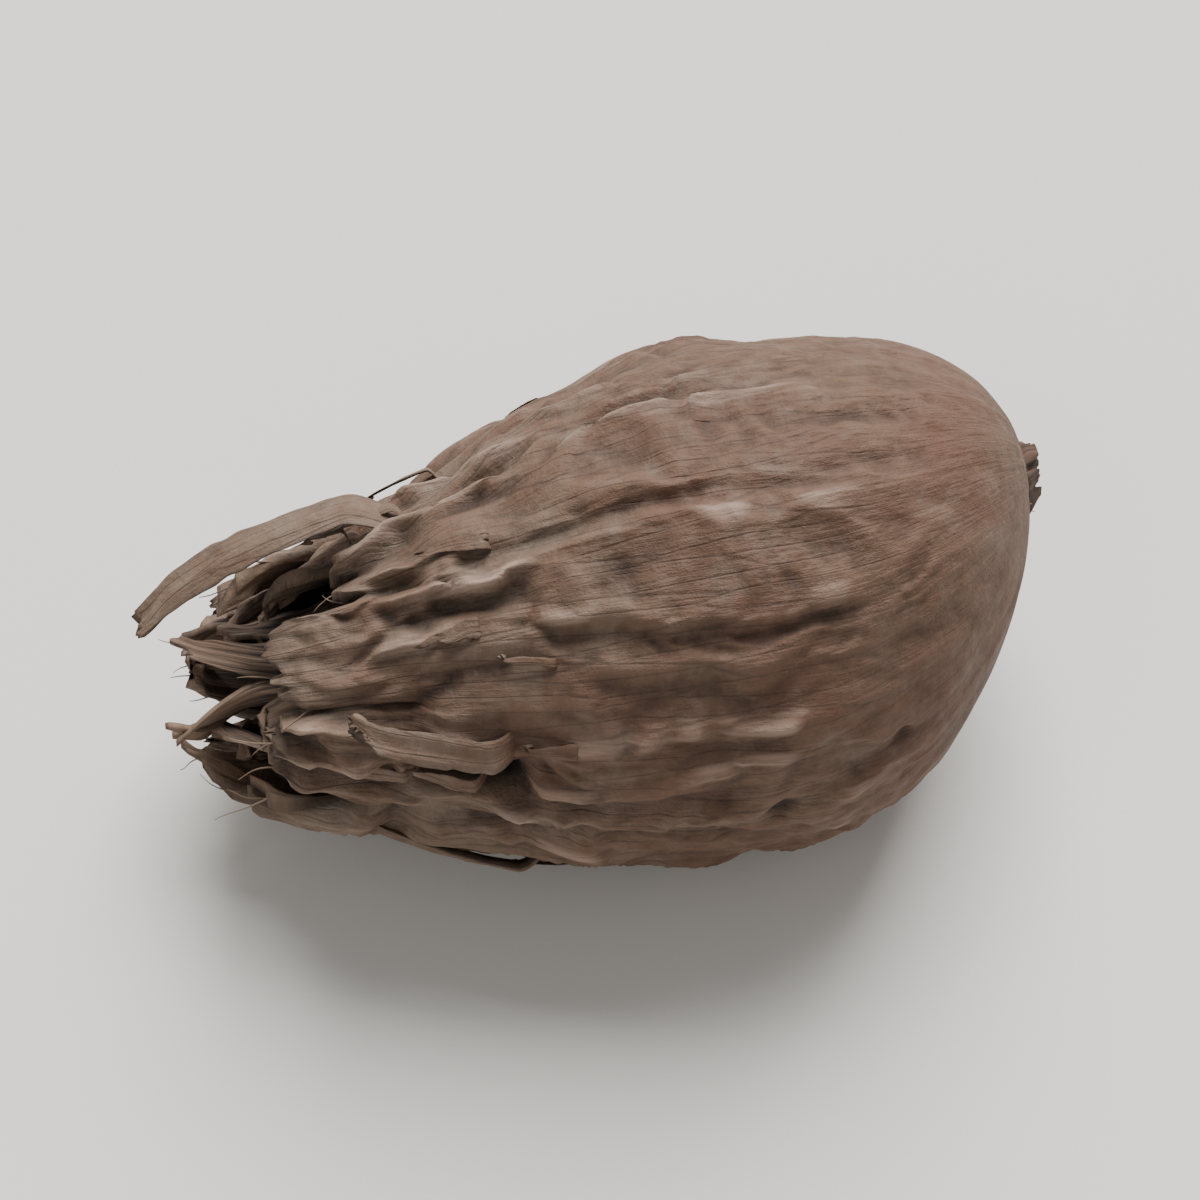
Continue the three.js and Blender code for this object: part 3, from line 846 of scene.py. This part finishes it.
# Papery shreds of the inner fruit wall that stand in the hollow, in the units of the strips.
shredPlan = {
    "count": 8,
    "steps": 40,
    "sides": 24,
    "firstRib": 5.0,
    "lastRib": 22.0,
    "start": (21.6, 22.4, 42),
    "end": (25.0, 27.8, 43),
    "lift": (-0.3, 0.3, 44),
    "opening": (-0.6, 1.0, 38),
    "sink": 0.2,
    "width": (1.7, 3.0, 45),
    "thickness": (0.12, 0.18, 46),
    "drift": (-1.0, 1.0, 47),
    "curl": (0.0, 0.9, 48),
    "twist": (-1.3, 1.3, 49),
    "underside": 1.9,
    "pointed": 0.45,
    # painted shade of the hollow on the shreds: full at their roots up to this along, gone by the
    # next
    "fullPaintedShadeTo": 22.6,
    "noPaintedShadeFrom": 25.8,
    "firstSeed": 10.0,
}


def buildShreds():
    # spread evenly round the hollow, each moved on by up to 0.8 of the space between two
    shreds = drawn(shredPlan)
    n = np.arange(shreds["count"])
    share = (n + 0.8 * draw(n, 41)) / shreds["count"]
    shreds["rib"] = mix(shreds["firstRib"], shreds["lastRib"], share)
    surface, attributes = ribbons(shreds)
    addPiece("innerWallShreds", surface, attributes, splitRib)


# Flakes of skin that have peeled off the ribs, in the units of the strips.
flakePlan = {
    "count": 24,
    "steps": 30,
    "sides": 12,
    "firstStart": 12,
    "lastStart": 22.5,
    "length": (1.6, 3.8, 54),
    "offCrest": (-0.125, 0.125, 53),
    "lift": (0.1, 0.3, 55),
    "opening": 0.0,
    "sink": 1.3,
    "width": (0.35, 0.75, 56),
    "thickness": (0.12, 0.18, 57),
    "drift": (-0.075, 0.075, 58),
    "curl": (0.0, 0.1, 59),
    "twist": (-0.4, 0.4, 60),
    "underside": 0.3,
    "pointed": 0.9,
    "fullPaintedShadeTo": 0.0,
    "noPaintedShadeFrom": 0.1,
    "firstSeed": 40.0,
}


def buildFlakes():
    # each on the crest of a drawn rib, more of them towards the tip
    flakes = drawn(flakePlan)
    n = np.arange(flakes["count"])
    flakes["rib"] = np.floor(draw(n, 52) * ribCount) + flakes["offCrest"]
    flakes["start"] = mix(flakes["firstStart"], flakes["lastStart"], draw(n, 51) ** 0.7)
    flakes["end"] = flakes["start"] + flakes["length"]
    surface, attributes = ribbons(flakes)
    addPiece("peeledFlakes", surface, attributes, leather)


# The dried flower tube in the hollow, torn into flaps, in millimetres.
flowerShape = {
    "columns": 264,
    "outerRows": 34,
    "innerRows": 20,
    "rootRadius": 1.8,
    "root": 19.5,
    "neckRadius": 1.4,
    "neck": 26.0,
    "wall": 0.22,
    "floor": 22.6,
    "split": 24.6,
    "flapEnds": np.array([27.0, 28.2, 27.6, 28.6, 28.4, 27.9]),
    "flapLeans": np.array([-0.1, 0.5, 0.7, 0.9, 1.0, 0.55]),
    "flapsOpen": (25.0, 28.5),  # along
    "pleats": 0.3,
    "creases": 0.07,
    "crinkles": 0.03,
    # painted shade of the hollow on the tube: full up to this along, gone by the next
    "fullPaintedShadeTo": 24.0,
    "noPaintedShadeFrom": 27.2,
}


def buildFlower():
    # one shell: a root in the husk, the outside up to the flaps' ends, then the inside down to a
    # floor
    f, p = flowerShape, podShape
    c = np.arange(f["columns"])
    turn = c / f["columns"] * 2 * pi
    perFlap = f["columns"] // len(f["flapEnds"])
    flap = c // perFlap
    across = (c % perFlap) / perFlap * 2 - 1
    ragged = 0.3 * roundNoise(c, 3, 0 * c, 61) + 0.6 * roundNoise(c, 11, 0 * c, 64) - 0.6
    end = f["split"] + (f["flapEnds"][flap] + ragged - f["split"]) * (1 - np.abs(across) ** 3)

    def wall(along, inset):
        # narrows from the root to the neck, then each flap leans out, curls and turns; pleated,
        # creased and crinkled
        narrowed = ease(along, p["hollowFloor"], f["neck"])
        opened = ease(along, *f["flapsOpen"])
        pleat = narrowed * (f["pleats"] * roundNoise(c, 22, along * 0.8, 62) - 0.1)
        pleat = pleat + f["creases"] * roundNoise(c, 11, along * 1.7, 66)
        pleat = pleat + f["crinkles"] * roundNoise(c, 4, along * 1.1, 63)
        radius = mix(f["rootRadius"], f["neckRadius"], narrowed) + f["flapLeans"][flap] * opened
        curl = 0.5 * across**2 + 0.35 * np.sin(along * 1.7 + flap * 2.1)
        curl = curl + 0.5 * across * np.sin(flap * 3.3)
        lean = opened * (0.2 + 0.6 * np.sin(flap * 2.7))
        lean = lean + 0.12 * narrowed * np.sin(along * 1.3 + flap)
        return place(along, radius + pleat + opened * curl - inset, turn + lean)

    root = place(np.array([[f["root"]], [p["hollowFloor"]]]), f["rootRadius"], turn)
    outer = wall(mix(p["hollowFloor"], end, np.linspace(0.04, 1, f["outerRows"])[:, None]), 0)
    inner = wall(mix(end, f["floor"], np.linspace(0, 1, f["innerRows"])[:, None]), f["wall"])
    rings = np.concatenate([root, outer, inner])
    along = p["stalkEndX"] - rings[..., 0]
    grain = together(4 * np.cos(turn), 4 * np.sin(turn), along * grainStretch)
    rootPole, floorPole = ((0, 0, grainStretch * f[key]) for key in ("root", "floor"))
    # painted shade of the hollow, darkest at the tube's root, times a noise in the tone
    pale = ease(along, f["fullPaintedShadeTo"], f["noPaintedShadeFrom"])
    toneWithPaintedShade = (0.45 + 0.3 * roundNoise(c, 11, along * 0.9, 65)) * pale
    attributes = {
        "grain": withPoles(grain[None], rootPole, floorPole),
        "wear": withPoles(together(toneWithPaintedShade, 0, 0)[None], 0, 0),
    }
    surface = closedShells(rings[None], place(f["root"], 0.0, 0.0), place(f["floor"], 0.0, 0.0))
    addPiece("driedFlowerTube", surface, attributes, driedFlower, "flower_tube")


# The stub of the stalk: a bundle of fibres broken off rough, in millimetres.
stalkShape = {
    "columns": 120,
    "sideRows": 16,
    "endRows": 7,
    "radius": 1.3,
    "sunk": 1.0,
    "stub": 0.45,
    "meanBreak": 0.6,  # share of the stub that the broken end stands out on average
    "bundles": 7,
    "jaggedness": 0.4,
}


def buildStalk():
    # one shell: straight sides in bundles that narrow a little, then an end whose rings close in
    # and are broken off at uneven heights
    k = stalkShape
    c = np.arange(k["columns"])
    turn = c / k["columns"] * 2 * pi
    broken = k["stub"] * k["meanBreak"]
    sides = np.concatenate([[k["sunk"]], np.linspace(0.3, -broken, k["sideRows"])])
    along = np.concatenate([sides, np.full(k["endRows"], -broken)])[:, None]
    share = np.concatenate([np.ones(len(sides)), np.linspace(0.92, 0.15, k["endRows"])])[:, None]
    bundle = 0.05 * np.abs(np.cos(turn * k["bundles"])) + 0.07 * roundNoise(c, 3, along * 2, 71)
    radius = k["radius"] * share * (0.9 + bundle) * (1 - 0.25 * ease(-along, -0.1, broken))
    rough = k["jaggedness"] * roundNoise(c, 5, share * 6, 72) * ease(-along, -0.2, broken)
    rings = place(np.clip(along + rough, -k["stub"], k["sunk"]), radius, turn)
    grain = together(5 * np.cos(turn) * share, 5 * np.sin(turn) * share, along * 0.2)
    toneWithPaintedShade = 0.4 + 0.4 * roundNoise(c, 3, share * 5, 73)
    attributes = {
        "grain": withPoles(grain[None], 0, 0),
        "wear": withPoles(together(toneWithPaintedShade, 0, 0)[None], 0, 0),
    }
    poles = place(k["sunk"], 0.0, 0.0), place(-k["stub"] * 0.4, 0.0, 0.0)
    surface = closedShells(rings[None], *poles)
    addPiece("stalkStub", surface, attributes, stalkWood, "stalk")


# Loose fibres: tapered threads 0.07 mm thick at the root, in millimetres.
fibrePlan = {
    "atTip": 22,
    "atStalk": 5,
    "radius": 0.035,
    "steps": 14,
    "sides": 6,
    "farthest": 28.6,  # along
}


def threadsAtTip(n):
    # rooted just inside the rim, they run on past it, each with its own length, slant and bend
    q = ribCount * draw(n, 82)
    start = rimAlong(q) - 0.2 - 0.5 * draw(n, 81)
    reach = np.minimum(1.0 + 1.8 * draw(n, 84), fibrePlan["farthest"] - start)
    heading = together(-1, 0.5 * offCentre(n, 85), 0.5 * offCentre(n, 86))
    bend = together(0.5 * draw(n, 87), 1.6 * offCentre(n, 88), 1.6 * offCentre(n, 89))
    return innerSkin(q, start, 1.03), heading * reach[:, None], bend


def threadsAtStalk(n):
    # a ring of short ones, evenly spaced, that lean out round the stub
    turn = 2 * pi * n / fibrePlan["atStalk"]
    root = place(0.15, 0.5 + 0.9 * draw(n, 90), turn)
    reach = 0.15 + 0.2 * draw(n, 91)
    heading = together(0.8, 0.4 * np.sin(turn), 0.4 * np.cos(turn))
    bend = together(0, 0.35 * offCentre(n, 92), 0.35 * offCentre(n, 93))
    return root, heading * reach[:, None], bend


def buildFibres():
    # each thread is its root plus a straight run, plus a bend as the square of the way, plus a
    # wobble
    f = fibrePlan
    groups = zip(threadsAtTip(np.arange(f["atTip"])), threadsAtStalk(np.arange(f["atStalk"]) + 100))
    root, run, bend = (np.concatenate(pair)[:, None] for pair in groups)
    n = np.arange(len(root))[:, None, None]
    s = np.linspace(0, 1, f["steps"])[None, :, None]
    wobble = 0.1 * np.sin(s * (3 + 3 * draw(n, 95)) + bend * 9)
    path = root + run * s + bend * s**2 + wobble * s
    turn = np.arange(f["sides"]) / f["sides"] * 2 * pi
    thick = f["radius"] * (1 - 0.6 * s)[..., None]
    points = path[:, :, None] + together(0, np.sin(turn), np.cos(turn)) * thick
    points[..., 2] = np.maximum(points[..., 2], 0.02)
    attributes = {
        "grain": withPoles(np.broadcast_to(n[..., None] * 1.7, points.shape)),
        "wear": withPoles(np.broadcast_to(draw(n, 94)[..., None], points.shape)),
    }
    surface = closedShells(points, points[:, 0].mean(1), points[:, -1].mean(1))
    addPiece("looseFibres", surface, attributes, looseFibre)


buildHusk()
buildStrips()
buildShreds()
buildFlakes()
buildFlower()
buildStalk()
buildFibres()


# Pale painted board under two large, far panels, in metres and degrees. The board is matt and
# almost white, with a very faint mottling.
studio = {
    "board": "#e9e6e0",
    "boardShade": "#e6e3dc",
    "boardReach": 1.5,
    "mottlesPerMetre": 60,
    "panels": {
        "keyPanel": {"at": (0.36, 1.04, 1.32), "size": 1.28, "watts": 67.0},
        "fillPanel": {"at": (-1.2, -1.0, 1.0), "size": 1.6, "watts": 5.6},
    },
    "panelsAimAt": (0, 0, 0.006),
    "sky": 0.3,
    "lens": 100,
    "nearest": 0.005,  # where the camera starts to see
    "distance": 0.106,
    "elevation": 60,
    "azimuth": -8,
    "lookAt": (0.0, 0.0, 0.0072),
}


def buildBoard():
    # one flat square, its colour picked between two near whites by a slow noise
    material, tree, shader = newMaterial("palePaintedBoard", 0.9)
    where = addNode(tree, "ShaderNodeTexCoord").outputs["Object"]
    settings = {"Scale": studio["mottlesPerMetre"], "Detail": 3}
    mottle = addNode(tree, "ShaderNodeTexNoise", settings, {"Vector": where}).outputs["Fac"]
    stops = {"stops": [(0.2, studio["boardShade"]), (0.8, studio["board"])]}
    colour = addNode(tree, "ShaderNodeValToRGB", stops, {"Fac": mottle}).outputs["Color"]
    tree.links.new(colour, shader.inputs["Base Color"])
    mesh = bpy.data.meshes.new("floorBoard")
    r = studio["boardReach"]
    mesh.from_pydata([(-r, -r, 0), (r, -r, 0), (r, r, 0), (-r, r, 0)], [], [(0, 1, 2, 3)])
    mesh.materials.append(material)
    floor = bpy.data.objects.new("floorBoard", mesh)
    bpy.context.scene.collection.objects.link(floor)


def aim(thing, spot):
    # turns a light or the camera so that its own -Z points from where it stands to the spot
    thing.rotation_euler = (Vector(spot) - thing.location).to_track_quat("-Z", "Y").to_euler()


def buildLights():
    # an even white sky, and square panels that all aim at the pod
    world = bpy.data.worlds.new("softRoom")
    world.use_nodes = True
    background = world.node_tree.nodes["Background"]
    background.inputs["Color"].default_value = (1, 1, 1, 1)
    background.inputs["Strength"].default_value = studio["sky"]
    bpy.context.scene.world = world
    for name, panel in studio["panels"].items():
        light = bpy.data.lights.new(name, "AREA")
        light.size = panel["size"]
        light.energy = panel["watts"]
        lamp = bpy.data.objects.new(name, light)
        lamp.location = panel["at"]
        bpy.context.scene.collection.objects.link(lamp)
        aim(lamp, studio["panelsAimAt"])


def buildCamera():
    # at its distance from the point that it looks at, up by the elevation and round from -Y by
    # the azimuth
    camera = bpy.data.cameras.new("camera")
    camera.lens = studio["lens"]
    camera.clip_start = studio["nearest"]
    eye = bpy.data.objects.new("camera", camera)
    up, turned = radians(studio["elevation"]), radians(studio["azimuth"])
    level = studio["distance"] * cos(up)
    x, y, z = studio["lookAt"]
    z = z + studio["distance"] * sin(up)
    eye.location = (x + level * sin(turned), y - level * cos(turned), z)
    bpy.context.scene.collection.objects.link(eye)
    bpy.context.scene.camera = eye
    aim(eye, studio["lookAt"])


buildBoard()
buildLights()
buildCamera()
print("studio made")
